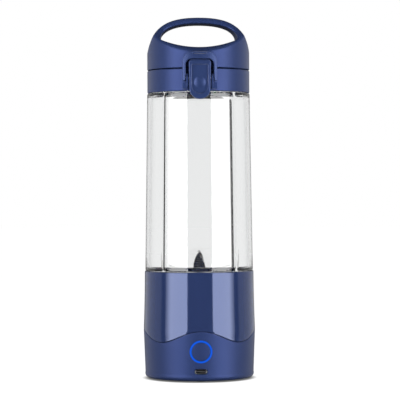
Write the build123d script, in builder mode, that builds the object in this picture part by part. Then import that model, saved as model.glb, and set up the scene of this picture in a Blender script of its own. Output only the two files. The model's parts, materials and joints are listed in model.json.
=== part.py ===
"""Cordless countertop blender: a clear cup that screws onto a battery base, under a flip-top lid.

Millimetres. +Z is up, the front (latch, power button, charging port) faces -Y, and the origin is the
centre of the footprint on the surface that the blender stands on.
"""

import os
from math import cos, degrees, hypot, pi, radians, sin

from build123d import *

# ---------------------------------------------------------------- driving dimensions
total_height = 277.4

# base: outside radii of the casing at named heights
foot_height = 0.8
rim_height = 82.7
rim_radius = 42.0
belly_height = 38.0
belly_radius = 43.0
shin_height = 5.0
shin_radius = 41.8
sole_radius = 38.0
upper_bulge = (42.3, 60.0)
shell_wall = 2.2
boot_wall = 2.0
seam_mean = 33.9
seam_swing = 4.4
seam_gap = 0.35

# cup
cup_foot = 70.5
cup_shoulder = 82.9
cup_neck = 219.4
cup_top = 233.0
cup_radius_low = 41.5
cup_radius_high = 39.5
cup_wall = 2.4
neck_low_radius = 38.3
neck_high_radius = 36.4
neck_wall = 1.8
rib_count = 4
rib_width = 3.0
rib_reach = 2.3

# screw threads: three starts, so one turn lifts by the lead
thread_starts = 3
thread_lead = 30.0
thread_span = 40.0
thread_thickness = 1.8
thread_spacing = 2.0
base_thread_height = 78.6
lid_thread_height = 227.5

# lid
lid_radius = 39.4
collar_low = 219.7
collar_high = 236.8
lid_low = 237.4
lid_wall = 2.6
lid_wall_top = 250.3
saddle_height = 253.0
arch_fullness = 24.3
arch_rise = 20.4
shoulder_round = 3.0
rim_round = 1.2
strap_half_depth = 11.5
strap_thickness = 4.6
hinge_y = 41.6
hinge_z = 237.1
knuckle_radius = 3.0
spout_y = -20.0
spout_radius = 9.5
spout_bore = 7.0
spout_top = 244.5

# latch
latch_pin_y = -40.9
latch_pin_z = 229.3
latch_pin_radius = 0.8
latch_running_gap = 0.06
button_half_width = 8.4
button_top = 243.1
tongue_radius = 8.0
tongue_tip = 213.3
latch_face_y = -44.6
frame_round = 0.9
bail_half_width = 13.05
bail_arm = 2.55
bail_top = 249.6
bail_bar_low = 243.6
bail_inner_radius = 39.75
bail_outer_radius = 43.9
ear_inner = 8.75
ear_outer = 10.3

# drive, power and controls
shaft_radius = 2.5
motor_radius = 13.85
motor_low = 20.0
motor_high = 57.0
cell_radius = 9.1
cell_offset = 25.0
cell_low = 5.2
cell_length = 50.0
post_x = 20.5
post_y = 23.5
deck_height = 71.0
blade_seat = 84.0
blade_sheet = 1.2
button_z = 23.1
button_radius = 6.9
ring_outer = 8.7
ring_inner = 7.0
port_z = 8.1
port_width = 10.0
port_height = 4.2
usb_width = 8.94
usb_height = 3.26
board_front = -34.6
board_thickness = 1.6
board_width = 28.0

os.makedirs("parts", exist_ok=True)
finished = []


def finish(builder, label):
    """Names the piece and writes its STEP file."""
    builder.part.label = label
    export_step(builder.part, f"parts/{label}.step")
    finished.append(label)


# ---------------------------------------------------------------- shared profiles and tools
def corners_at(builder, *points):
    """The corners of an outline that lie nearest to the given points, in the plane of the sketch."""
    return [min(builder.vertices(), key=lambda v: hypot(v.X - x, v.Y - y)) for x, y in points]


def base_section(inset, low=foot_height, high=rim_height):
    """Half section of the base's outside, moved inwards by inset and kept between two heights."""
    with BuildSketch(Plane.XZ) as half:
        with BuildLine():
            sole = Line((0, foot_height), (sole_radius - inset, foot_height))
            heel = SagittaArc(sole @ 1, (shin_radius - inset, shin_height), -1.7)
            shin = Line(heel @ 1, (belly_radius - inset, belly_height))
            upper = ThreePointArc(
                shin @ 1, (upper_bulge[0] - inset, upper_bulge[1]), (rim_radius - inset, rim_height)
            )
            Polyline(upper @ 1, (0, rim_height), (0, foot_height))
        make_face()
        with Locations((0, low)):
            Rectangle(60, high - low, align=(Align.MIN, Align.MIN), mode=Mode.INTERSECT)
    return half.sketch


def seam_height(x):
    """Height of the wavy seam at x: a cosine of four periods round the base."""
    s = x / belly_radius
    return seam_mean + seam_swing * (8 * s**4 - 8 * s**2 + 1)


def under_seam(offset):
    """A block that fills the space below the wavy seam moved up by offset, front to back."""
    with BuildPart() as block:
        with BuildSketch(Plane.XZ):
            with BuildLine():
                stations = [belly_radius * k / 8 for k in range(-8, 9)]
                wave = Spline([(x, seam_height(x) + offset) for x in stations])
                Polyline(wave @ 1, (50, seam_height(belly_radius) + offset), (50, -5), (-50, -5),
                         (-50, seam_height(belly_radius) + offset), wave @ 0)
            make_face()
        extrude(amount=50, both=True)
    return block.part


def envelope(inset, low=foot_height, high=rim_height):
    """The base's outside as a solid of revolution, moved inwards by inset."""
    with BuildPart() as solid:
        revolve(base_section(inset, low, high), Axis.Z)
    return solid.part


def thread_ridge(low_radius, high_radius, height):
    """One ridge of the screw thread, centred on the +X side and sloping with the lead."""
    mid_radius = (low_radius + high_radius) / 2
    slope = degrees(thread_lead / (2 * pi * mid_radius))
    with BuildPart() as ridge:
        with Locations(Location((mid_radius, 0, height), (slope, 0, 0))):
            Box(12, 2 * mid_radius * sin(radians(thread_span / 2)), thread_thickness)
        with Locations((0, 0, height)):
            Cylinder(high_radius, 20, mode=Mode.INTERSECT)
            Cylinder(low_radius, 20, mode=Mode.SUBTRACT)
    return ridge.part


def rounded_slot(width, height):
    """A slot outline with fully rounded ends, for the charging port."""
    with BuildSketch() as slot:
        RectangleRounded(width, height, height / 2 - 0.01)
    return slot.sketch


def front_plane(y, z=0.0):
    """A sketch plane across the front at depth y, with local x to the right and local y up."""
    return Plane(origin=(0, y, z), x_dir=(1, 0, 0), z_dir=(0, -1, 0))


# ---------------------------------------------------------------- base casing
with BuildPart() as base_shell:
    skirt_low = 14.0
    revolve(base_section(0, skirt_low), Axis.Z)
    # the skirt behind the boot, then the hollow above and below the shelf
    revolve(base_section(shell_wall + 1.6, skirt_low, 65.2), Axis.Z, mode=Mode.SUBTRACT)
    with Locations((0, 0, 67.6)):
        Cylinder(39.9, 20, align=(Align.CENTER, Align.CENTER, Align.MIN), mode=Mode.SUBTRACT)
    with Locations((0, 0, 60)):
        Cylinder(34.0, 20, align=(Align.CENTER, Align.CENTER, Align.MIN), mode=Mode.SUBTRACT)
    outside = under_seam(seam_gap / 2) - envelope(shell_wall, 0.9, 60)
    add(outside, mode=Mode.SUBTRACT)
    # opening in the skirt for the button, its lights and the charging port
    with BuildSketch(front_plane(-30)):
        with Locations((0, skirt_low)):
            Rectangle(30, 19, align=(Align.CENTER, Align.MIN))
    extrude(amount=15, mode=Mode.SUBTRACT)
    top_edges = edges().filter_by(GeomType.CIRCLE).group_by(Axis.Z)[-1]
    fillet(top_edges, 0.7)
    ridge = thread_ridge(38.7, 40.4, base_thread_height)
    with PolarLocations(0, thread_starts, start_angle=90):
        add(ridge)
finish(base_shell, "base_shell")

with BuildPart() as base_boot:
    revolve(base_section(0), Axis.Z)
    revolve(base_section(boot_wall, foot_height + 2.0), Axis.Z, mode=Mode.SUBTRACT)
    with Locations((0, 0, 0)):
        Cylinder(36.2, 12, mode=Mode.SUBTRACT)
    add(under_seam(-seam_gap / 2), mode=Mode.INTERSECT)
    with BuildSketch(front_plane(-30)):
        with Locations((0, button_z)):
            Circle(ring_outer + 0.05)
        with Locations((0, port_z)):
            add(rounded_slot(port_width, port_height))
    extrude(amount=15, mode=Mode.SUBTRACT)
finish(base_boot, "base_boot")

with BuildPart() as bottom_cover:
    with Locations((0, 0, foot_height)):
        Cylinder(36.0, 2.0, align=(Align.CENTER, Align.CENTER, Align.MIN))
    fillet(edges().group_by(Axis.Z)[0], 0.5)
    with Locations(*[(x, y, foot_height) for x in (-post_x, post_x) for y in (-post_y, post_y)]):
        Cylinder(1.3, 2.0, align=(Align.CENTER, Align.CENTER, Align.MIN), mode=Mode.SUBTRACT)
        Cylinder(2.6, 1.1, align=(Align.CENTER, Align.CENTER, Align.MIN), mode=Mode.SUBTRACT)
    with Locations((0, 0, foot_height)):
        with PolarLocations(30, 4):
            Cylinder(4.6, 0.9, align=(Align.CENTER, Align.CENTER, Align.MIN), mode=Mode.SUBTRACT)
finish(bottom_cover, "bottom_cover")

with BuildPart() as feet:
    with PolarLocations(30, 4):
        Cylinder(4.5, 1.7, align=(Align.CENTER, Align.CENTER, Align.MIN))
    chamfer(edges().group_by(Axis.Z)[0], 0.3)
finish(feet, "feet")

with BuildPart() as cover_screws:
    with Locations(*[(x, y, 0.9) for x in (-post_x, post_x) for y in (-post_y, post_y)]):
        Cylinder(2.4, 0.95, align=(Align.CENTER, Align.CENTER, Align.MIN))
        Cylinder(1.1, 10.0, align=(Align.CENTER, Align.CENTER, Align.MIN))
    with Locations(*[(x, y, 0.9) for x in (-post_x, post_x) for y in (-post_y, post_y)]):
        Box(2.2, 0.6, 0.5, align=(Align.CENTER, Align.CENTER, Align.MIN), mode=Mode.SUBTRACT)
        Box(0.6, 2.2, 0.5, align=(Align.CENTER, Align.CENTER, Align.MIN), mode=Mode.SUBTRACT)
finish(cover_screws, "cover_screws")

# ---------------------------------------------------------------- frame, motor and battery
plate_low = motor_high + 0.1
plate_high = plate_low + 2.8
with BuildPart() as chassis:
    with Locations((0, 0, plate_low)):
        Cylinder(38.0, plate_high - plate_low, align=(Align.CENTER, Align.CENTER, Align.MIN))
        Cylinder(5.3, 10, align=(Align.CENTER, Align.CENTER, Align.MIN), mode=Mode.SUBTRACT)
        with Locations((8, 0), (-8, 0)):
            Cylinder(1.6, 10, align=(Align.CENTER, Align.CENTER, Align.MIN), mode=Mode.SUBTRACT)
    # ring that carries the shelf of the casing
    with BuildSketch(Plane.XY.offset(plate_high)):
        Circle(36.5)
        Circle(34.5, mode=Mode.SUBTRACT)
    extrude(amount=65.1 - plate_high)
    with Locations(*[(x, y, 2.9) for x in (-post_x, post_x) for y in (-post_y, post_y)]):
        Cylinder(3.2, plate_low - 2.9, align=(Align.CENTER, Align.CENTER, Align.MIN))
        Cylinder(1.15, 12, align=(Align.CENTER, Align.CENTER, Align.MIN), mode=Mode.SUBTRACT)
    # rails at the front that hold the control board
    with Locations((14.4, board_front + 1.9, 4.0), (-14.4, board_front + 1.9, 4.0)):
        Box(2.2, 4.4, plate_low - 4.0, align=(Align.CENTER, Align.CENTER, Align.MIN))
    with Locations((0, board_front + board_thickness / 2, 4.0)):
        Box(board_width + 0.2, board_thickness + 0.1, 40.2,
            align=(Align.CENTER, Align.CENTER, Align.MIN), mode=Mode.SUBTRACT)
finish(chassis, "chassis")

with BuildPart() as motor_can:
    with Locations((0, 0, motor_low + 4)):
        Cylinder(motor_radius, motor_high - motor_low - 4, align=(Align.CENTER, Align.CENTER, Align.MIN))
        Cylinder(motor_radius - 1.2, motor_high - motor_low - 5.2,
                 align=(Align.CENTER, Align.CENTER, Align.MIN), mode=Mode.SUBTRACT)
    with Locations((0, 0, motor_high)):
        Cylinder(5.0, 2.6, align=(Align.CENTER, Align.CENTER, Align.MIN))
        with Locations((8, 0, -1.3), (-8, 0, -1.3)):
            Cylinder(1.25, 2, align=(Align.CENTER, Align.CENTER, Align.MIN), mode=Mode.SUBTRACT)
        Cylinder(shaft_radius + 0.1, 20, mode=Mode.SUBTRACT)
    fillet(edges().filter_by(GeomType.CIRCLE).filter_by(lambda e: abs(e.radius - motor_radius) < 0.01)
           .group_by(Axis.Z)[-1], 1.0)
finish(motor_can, "motor_can")

with BuildPart() as motor_magnets:
    with BuildSketch(Plane.XY.offset(28)):
        Circle(motor_radius - 1.25)
        Circle(motor_radius - 3.2, mode=Mode.SUBTRACT)
        Rectangle(40, 8, mode=Mode.SUBTRACT)
    extrude(amount=24)
finish(motor_magnets, "motor_magnets")

with BuildPart() as motor_end_bell:
    with Locations((0, 0, motor_low)):
        Cylinder(motor_radius, 3.95, align=(Align.CENTER, Align.CENTER, Align.MIN))
        Cylinder(shaft_radius + 0.1, 10, mode=Mode.SUBTRACT)
        with Locations((0, 9), (0, -9)):
            Box(4, 0.8, 3.5, align=(Align.CENTER, Align.CENTER, Align.MAX))
    chamfer(edges().filter_by(GeomType.CIRCLE).filter_by(lambda e: abs(e.radius - motor_radius) < 0.01)
            .group_by(Axis.Z)[0], 0.8)
finish(motor_end_bell, "motor_end_bell")

with BuildPart() as motor_screws:
    with Locations((8, 0, plate_high), (-8, 0, plate_high)):
        Cylinder(2.6, 1.6, align=(Align.CENTER, Align.CENTER, Align.MIN))
        Cylinder(1.2, 4.0, align=(Align.CENTER, Align.CENTER, Align.MAX))
    with Locations((8, 0, plate_high + 1.0), (-8, 0, plate_high + 1.0)):
        Box(3.4, 0.7, 1.0, align=(Align.CENTER, Align.CENTER, Align.MIN), mode=Mode.SUBTRACT)
finish(motor_screws, "motor_screws")

with BuildPart() as rotor:
    armature_low, armature_high = 30.0, 50.0
    with BuildSketch(Plane.XY.offset(armature_low)):
        Circle(10.2)
        Circle(shaft_radius, mode=Mode.SUBTRACT)
        with PolarLocations(9.2, 5):
            Rectangle(3.4, 1.2, mode=Mode.SUBTRACT)
    extrude(amount=armature_high - armature_low)
    with BuildSketch(Plane.XY.offset(25.0)):
        Circle(4.2)
        Circle(shaft_radius, mode=Mode.SUBTRACT)
    extrude(amount=armature_low - 25.0)
finish(rotor, "rotor")

with BuildPart() as battery_cells:
    with Locations((cell_offset, 0, cell_low), (-cell_offset, 0, cell_low)):
        Cylinder(cell_radius, cell_length, align=(Align.CENTER, Align.CENTER, Align.MIN))
    fillet(edges(), 0.6)
    with Locations((cell_offset, 0, cell_low + cell_length), (-cell_offset, 0, cell_low + cell_length)):
        Cylinder(3.0, 0.8, align=(Align.CENTER, Align.CENTER, Align.MIN))
finish(battery_cells, "battery_cells")

with BuildPart() as cell_cradle:
    with BuildSketch(Plane.XY.offset(26)):
        Circle(motor_radius + 1.5)
        with Locations((cell_offset, 0), (-cell_offset, 0)):
            Circle(cell_radius + 1.6)
        Circle(motor_radius + 0.1, mode=Mode.SUBTRACT)
        with Locations((cell_offset, 0), (-cell_offset, 0)):
            Circle(cell_radius + 0.1, mode=Mode.SUBTRACT)
    extrude(amount=18)
finish(cell_cradle, "cell_cradle")

with BuildPart() as cell_strap:
    with Locations((0, 0, cell_low)):
        Box(2 * cell_offset + 8, 8, 0.3, align=(Align.CENTER, Align.CENTER, Align.MAX))
finish(cell_strap, "cell_strap")

# ---------------------------------------------------------------- control board and its parts
with BuildPart() as control_board:
    with Locations((0, board_front + board_thickness / 2, 4.05)):
        Box(board_width, board_thickness, 40.0, align=(Align.CENTER, Align.CENTER, Align.MIN))
finish(control_board, "control_board")

with BuildPart() as board_chips:
    with Locations((-9, board_front, 38), (3, board_front, 38), (10.5, board_front, 31)):
        Box(5.0, 1.1, 5.0, align=(Align.CENTER, Align.MAX, Align.CENTER))
finish(board_chips, "board_chips")

with BuildPart() as tact_switch:
    with Locations((0, board_front, button_z)):
        Box(6.0, 3.2, 6.0, align=(Align.CENTER, Align.MAX, Align.CENTER))
    with BuildSketch(front_plane(board_front - 3.2)):
        with Locations((0, button_z)):
            Circle(1.7)
    extrude(amount=0.6)
finish(tact_switch, "tact_switch")

with BuildPart() as ring_lights:
    with Locations(front_plane(board_front, button_z)):
        with PolarLocations(7.85, 6):
            Box(1.6, 2.6, 1.0, align=(Align.CENTER, Align.CENTER, Align.MIN))
finish(ring_lights, "ring_lights")

with BuildPart() as light_ring:
    with BuildSketch(front_plane(board_front - 1.3)):
        with Locations((0, button_z)):
            Circle(ring_outer)
            Circle(ring_inner, mode=Mode.SUBTRACT)
    extrude(amount=10)
    add(envelope(-0.1), mode=Mode.INTERSECT)
finish(light_ring, "light_ring")

with BuildPart() as power_button:
    with BuildSketch(front_plane(-40.0)):
        with Locations((0, button_z)):
            Circle(button_radius)
    extrude(amount=6)
    add(envelope(0.15), mode=Mode.INTERSECT)
    with BuildSketch(front_plane(-39.2)):
        with Locations((0, button_z)):
            Circle(2.2)
    extrude(amount=1.2)
finish(power_button, "power_button")

with BuildPart() as usb_shell:
    with BuildSketch(front_plane(board_front)):
        with Locations((0, port_z)):
            add(rounded_slot(usb_width, usb_height))
    extrude(amount=6.7)
    with BuildSketch(front_plane(board_front - 0.4)):
        with Locations((0, port_z)):
            add(rounded_slot(usb_width - 0.6, usb_height - 0.6))
    extrude(amount=7, mode=Mode.SUBTRACT)
finish(usb_shell, "usb_shell")

with BuildPart() as usb_tongue:
    with Locations((0, board_front - 0.4, port_z)):
        Box(6.7, 5.0, 0.7, align=(Align.CENTER, Align.MAX, Align.CENTER))
        Box(6.9, 1.2, 2.0, align=(Align.CENTER, Align.MAX, Align.CENTER))
finish(usb_tongue, "usb_tongue")

# ---------------------------------------------------------------- blade deck and blades
with BuildPart() as blade_deck:
    with BuildSketch(Plane.XZ):
        with BuildLine():
            Polyline((5.0, 61.5), (9.0, 61.5), (9.0, 66.6), (33.8, 66.6), (33.8, 67.7), (35.6, 67.7),
                     (35.6, 69.8), (34.4, deck_height), (15.0, deck_height + 0.6), (10.0, 75.0),
                     (8.6, 79.4), (6.0, 79.4), (6.0, 69.6), (5.0, 69.6), (5.0, 61.5))
        make_face()
    revolve(axis=Axis.Z)
    fillet(edges().filter_by(GeomType.CIRCLE).filter_by(lambda e: abs(e.radius - 8.6) < 0.01), 0.8)
finish(blade_deck, "blade_deck")

with BuildPart() as shaft_bearing:
    with Locations((0, 0, 61.6)):
        Cylinder(4.98, 7.9, align=(Align.CENTER, Align.CENTER, Align.MIN))
        Cylinder(shaft_radius + 0.05, 20, mode=Mode.SUBTRACT)
finish(shaft_bearing, "shaft_bearing")

with BuildPart() as shaft_seal:
    with BuildSketch(Plane.XZ):
        with BuildLine():
            Polyline((2.56, 70.0), (5.96, 70.0), (5.96, 76.5), (4.6, 77.2), (3.0, 77.6), (2.56, 77.0),
                     (3.4, 74.5), (3.4, 72.0), (2.56, 71.2), (2.56, 70.0))
        make_face()
    revolve(axis=Axis.Z)
finish(shaft_seal, "shaft_seal")

with BuildPart() as drive_shaft:
    with Locations((0, 0, 21.0)):
        Cylinder(shaft_radius, 70.0, align=(Align.CENTER, Align.CENTER, Align.MIN))
    chamfer(edges().group_by(Axis.Z)[-1], 0.4)
finish(drive_shaft, "drive_shaft")

with BuildPart() as blade_spacer:
    with Locations((0, 0, blade_seat)):
        Cylinder(5.2, 4.0, align=(Align.CENTER, Align.CENTER, Align.MAX))
        Cylinder(shaft_radius, 12, mode=Mode.SUBTRACT)
finish(blade_spacer, "blade_spacer")


def blade_wing(side, bend, root, length, width, tip_width, seat):
    """One ground wing, bent from the hub plate by bend degrees and pointing along side times +X."""
    with BuildPart() as wing:
        plane = Plane(origin=(side * root, 0, seat + 0.5),
                      x_dir=(side * cos(radians(bend)), 0, sin(radians(bend))),
                      z_dir=(-side * sin(radians(bend)), 0, cos(radians(bend))))
        with BuildSketch(plane):
            with BuildLine():
                Polyline((-0.6, -width / 2), (length * 0.55, -width / 2),
                         (length, side * tip_width / 2 - 1.2),
                         (length, side * tip_width / 2 + 1.2), (length * 0.55, width / 2),
                         (-0.6, width / 2), (-0.6, -width / 2))
            make_face()
        extrude(amount=blade_sheet)
    return wing.part


with BuildPart() as blade_lower:
    with Locations((0, 0, blade_seat)):
        Cylinder(7.0, blade_sheet, align=(Align.CENTER, Align.CENTER, Align.MIN))
        Box(17.0, 10.0, blade_sheet, align=(Align.CENTER, Align.CENTER, Align.MIN))
    for side in (-1, 1):
        add(blade_wing(side, 14, 8.0, 16.5, 10.0, 2.0, blade_seat))
    with Locations((0, 0, blade_seat)):
        Cylinder(shaft_radius + 0.02, 10, mode=Mode.SUBTRACT)
finish(blade_lower, "blade_lower")

with BuildPart() as blade_upper_flat:
    seat = blade_seat + blade_sheet
    with Locations((0, 0, seat)):
        Cylinder(7.0, blade_sheet, align=(Align.CENTER, Align.CENTER, Align.MIN))
        Box(15.0, 9.0, blade_sheet, align=(Align.CENTER, Align.CENTER, Align.MIN))
    for side in (-1, 1):
        add(blade_wing(side, 52, 7.0, 17.0, 9.0, 2.0, seat))
    with Locations((0, 0, seat)):
        Cylinder(shaft_radius + 0.02, 10, mode=Mode.SUBTRACT)

with BuildPart() as blade_upper:
    add(blade_upper_flat.part.rotate(Axis.Z, 90))
finish(blade_upper, "blade_upper")

with BuildPart() as blade_washer:
    with Locations((0, 0, blade_seat + 2 * blade_sheet)):
        Cylinder(4.8, 0.8, align=(Align.CENTER, Align.CENTER, Align.MIN))
        Cylinder(shaft_radius + 0.05, 10, mode=Mode.SUBTRACT)
finish(blade_washer, "blade_washer")

with BuildPart() as blade_nut:
    nut_low = blade_seat + 2 * blade_sheet + 0.8
    with BuildSketch(Plane.XY.offset(nut_low)):
        RegularPolygon(4.6, 6)
    extrude(amount=3.2)
    with Locations((0, 0, nut_low + 3.2)):
        Cylinder(3.6, 1.6, align=(Align.CENTER, Align.CENTER, Align.MIN))
    fillet(edges().filter_by(GeomType.CIRCLE).group_by(Axis.Z)[-1], 1.5)
    with Locations((0, 0, nut_low)):
        Cylinder(shaft_radius, 91.1 - nut_low, align=(Align.CENTER, Align.CENTER, Align.MIN),
                 mode=Mode.SUBTRACT)
finish(blade_nut, "blade_nut")

# ---------------------------------------------------------------- cup
with BuildPart() as cup:
    inner_low = cup_radius_low - cup_wall
    inner_high = cup_radius_high - cup_wall
    foot_bore = neck_low_radius - neck_wall
    neck_bore = neck_high_radius - neck_wall
    with BuildSketch(Plane.XZ) as cup_half:
        with BuildLine():
            Polyline((foot_bore, cup_foot), (neck_low_radius, cup_foot), (neck_low_radius, cup_shoulder),
                     (cup_radius_low, cup_shoulder), (cup_radius_high, cup_neck),
                     (neck_high_radius, cup_neck), (neck_high_radius, cup_top), (neck_bore, cup_top),
                     (neck_bore, cup_neck - 0.2), (inner_high, cup_neck - 3.4),
                     (inner_low, cup_shoulder + 3.4), (foot_bore, cup_shoulder + 0.3), (foot_bore, cup_foot))
        make_face()
        fillet(corners_at(cup_half, (foot_bore, cup_foot), (neck_low_radius, cup_foot),
                          (neck_high_radius, cup_top), (neck_bore, cup_top)), 0.6)
        fillet(corners_at(cup_half, (cup_radius_low, cup_shoulder), (cup_radius_high, cup_neck)), 0.9)
        fillet(corners_at(cup_half, (inner_low, cup_shoulder + 3.4), (inner_high, cup_neck - 3.4)), 1.5)
        fillet(corners_at(cup_half, (neck_bore, cup_neck - 0.2), (foot_bore, cup_shoulder + 0.3)), 1.0)
    revolve(axis=Axis.Z)
    # agitator ribs down the inside
    rib_low, rib_high = cup_shoulder + 4, cup_neck - 2
    for k in range(rib_count):
        turn = radians(45 + 360 / rib_count * k)
        upright = Plane(origin=(0, 0, 0), x_dir=(cos(turn), sin(turn), 0), z_dir=(sin(turn), -cos(turn), 0))
        with BuildSketch(upright):
            with BuildLine():
                Polyline((inner_low + 0.5, rib_low), (inner_high + 0.5, rib_high),
                         (inner_high - rib_reach + 1.2, rib_high), (inner_high - rib_reach, rib_high - 3),
                         (inner_low - rib_reach, rib_low + 3), (inner_low - rib_reach + 1.2, rib_low),
                         (inner_low + 0.5, rib_low))
            make_face()
        extrude(amount=rib_width / 2, both=True)
    low_ridge = thread_ridge(neck_low_radius - 0.3, 39.5, base_thread_height - thread_spacing)
    high_ridge = thread_ridge(neck_high_radius - 0.3, 37.5, lid_thread_height)
    with PolarLocations(0, thread_starts, start_angle=90):
        add(low_ridge)
        add(high_ridge)
finish(cup, "cup")

with BuildPart() as cup_seal:
    with BuildSketch(Plane.XZ):
        with BuildLine():
            Polyline((35.9, 68.3), (36.4, 67.7), (36.9, 68.3), (37.3, 68.3), (37.8, 67.7), (38.3, 68.3),
                     (38.3, 70.4), (35.9, 70.4), (35.9, 68.3))
        make_face()
    revolve(axis=Axis.Z)
finish(cup_seal, "cup_seal")

# ---------------------------------------------------------------- lid collar and drinking spout
with BuildPart() as lid_collar:
    with BuildSketch(Plane.XZ) as collar_half:
        with BuildLine():
            Polyline((37.8, collar_low), (lid_radius, collar_low), (lid_radius, collar_high),
                     (30.6, collar_high), (30.6, 234.8), (37.8, 234.8), (37.8, collar_low))
        make_face()
        fillet(corners_at(collar_half, (lid_radius, collar_low), (lid_radius, collar_high)), 0.7)
    revolve(axis=Axis.Z)
    # flat behind the latch, with a seat for its spring
    with Locations((0, -38.8, 210)):
        Box(2 * ear_inner, 8, 40, align=(Align.CENTER, Align.MAX, Align.MIN), mode=Mode.SUBTRACT)
    # ears that carry the latch pin, and the steps under the feet of the locking bail
    for side in (-1, 1):
        with BuildSketch(Plane.YZ.offset(side * (ear_inner + ear_outer) / 2)):
            with BuildLine():
                Polyline((-37.9, 221.0), (-42.4, 221.0), (-43.4, 223.0), (-43.4, latch_pin_z + 1.2),
                         (-42.0, latch_pin_z + 2.9), (-37.9, latch_pin_z + 4.5), (-37.9, 221.0))
            make_face()
        extrude(amount=(ear_outer - ear_inner) / 2, both=True)
        with Locations((side * (ear_outer + bail_half_width) / 2 - side * 0.1, -37.6, 221.0)):
            Box(bail_half_width - ear_outer + 0.2, 5.4, 5.0, align=(Align.CENTER, Align.MAX, Align.MIN))
    with BuildSketch(Plane.YZ.offset(-30)):
        with Locations((latch_pin_y, latch_pin_z)):
            Circle(latch_pin_radius)
    extrude(amount=60, mode=Mode.SUBTRACT)
    with BuildSketch(front_plane(-38.3)):
        with Locations((0, 222.4)):
            Circle(2.3)
    extrude(amount=3, mode=Mode.SUBTRACT)
    # hinge knuckles at the back, and the room that the lid's own knuckle turns in
    with BuildSketch(Plane.YZ.offset(-7.0)):
        with Locations((hinge_y, hinge_z)):
            Circle(knuckle_radius + 0.3)
    extrude(amount=14.0, mode=Mode.SUBTRACT)
    for x in (-13.0, 7.0):
        with BuildSketch(Plane.YZ.offset(x)):
            with Locations((hinge_y, hinge_z)):
                Circle(knuckle_radius)
            with BuildLine():
                Polyline((hinge_y + 2.0, hinge_z - 2.2), (38.2, hinge_z - 8.5), (38.2, hinge_z - 0.35),
                         (hinge_y, hinge_z - 0.35), (hinge_y + 2.0, hinge_z - 2.2))
            make_face()
        extrude(amount=6)
    with BuildSketch(Plane.YZ.offset(-30)):
        with Locations((hinge_y, hinge_z)):
            Circle(1.0)
    extrude(amount=60, mode=Mode.SUBTRACT)
    ridge = thread_ridge(36.8, 38.3, lid_thread_height - thread_spacing)
    with PolarLocations(0, thread_starts, start_angle=90):
        add(ridge)
finish(lid_collar, "lid_collar")

with BuildPart() as spout_deck:
    with BuildSketch(Plane.XY.offset(collar_high - 2.0)):
        Circle(30.5)
    extrude(amount=2.2)
    with Locations((0, spout_y, collar_high)):
        Cylinder(spout_radius, spout_top - collar_high, align=(Align.CENTER, Align.CENTER, Align.MIN))
    fillet(edges().filter_by(GeomType.CIRCLE).group_by(Axis.Z)[-1], 1.0)
    with Locations((0, spout_y, 230)):
        Cylinder(spout_bore, 20, align=(Align.CENTER, Align.CENTER, Align.MIN), mode=Mode.SUBTRACT)
    with Locations((0, 18, 230)):
        Cylinder(1.5, 20, align=(Align.CENTER, Align.CENTER, Align.MIN), mode=Mode.SUBTRACT)
finish(spout_deck, "spout_deck")

with BuildPart() as lid_gasket:
    with BuildSketch(Plane.XZ):
        with BuildLine():
            Polyline((33.7, 233.1), (37.6, 233.1), (37.6, 234.7), (33.2, 234.7), (33.2, 233.9), (33.7, 233.1))
        make_face()
    revolve(axis=Axis.Z)
finish(lid_gasket, "lid_gasket")

with BuildPart() as hinge_pin:
    with BuildSketch(Plane.YZ.offset(-13.6)):
        with Locations((hinge_y, hinge_z)):
            Circle(0.98)
    extrude(amount=27.2)
finish(hinge_pin, "hinge_pin")

with BuildPart() as latch_pin:
    with BuildSketch(Plane.YZ.offset(-12.3)):
        with Locations((latch_pin_y, latch_pin_z)):
            Circle(latch_pin_radius - 0.01)
    extrude(amount=24.6)
finish(latch_pin, "latch_pin")


# ---------------------------------------------------------------- flip lid with its carry handle
def arch_outline():
    """Front outline of the lid: upright walls, then the arch of the handle."""
    with BuildSketch(Plane.XZ) as face:
        with BuildLine():
            right = Bezier((0, total_height), (arch_fullness, total_height),
                           (lid_radius - 0.22 * arch_rise, lid_wall_top + arch_rise),
                           (lid_radius, lid_wall_top))
            mirror(right, about=Plane.YZ)
            Polyline(right @ 1, (lid_radius, lid_low), (-lid_radius, lid_low), (-lid_radius, lid_wall_top))
        make_face()
    return face.sketch


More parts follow.
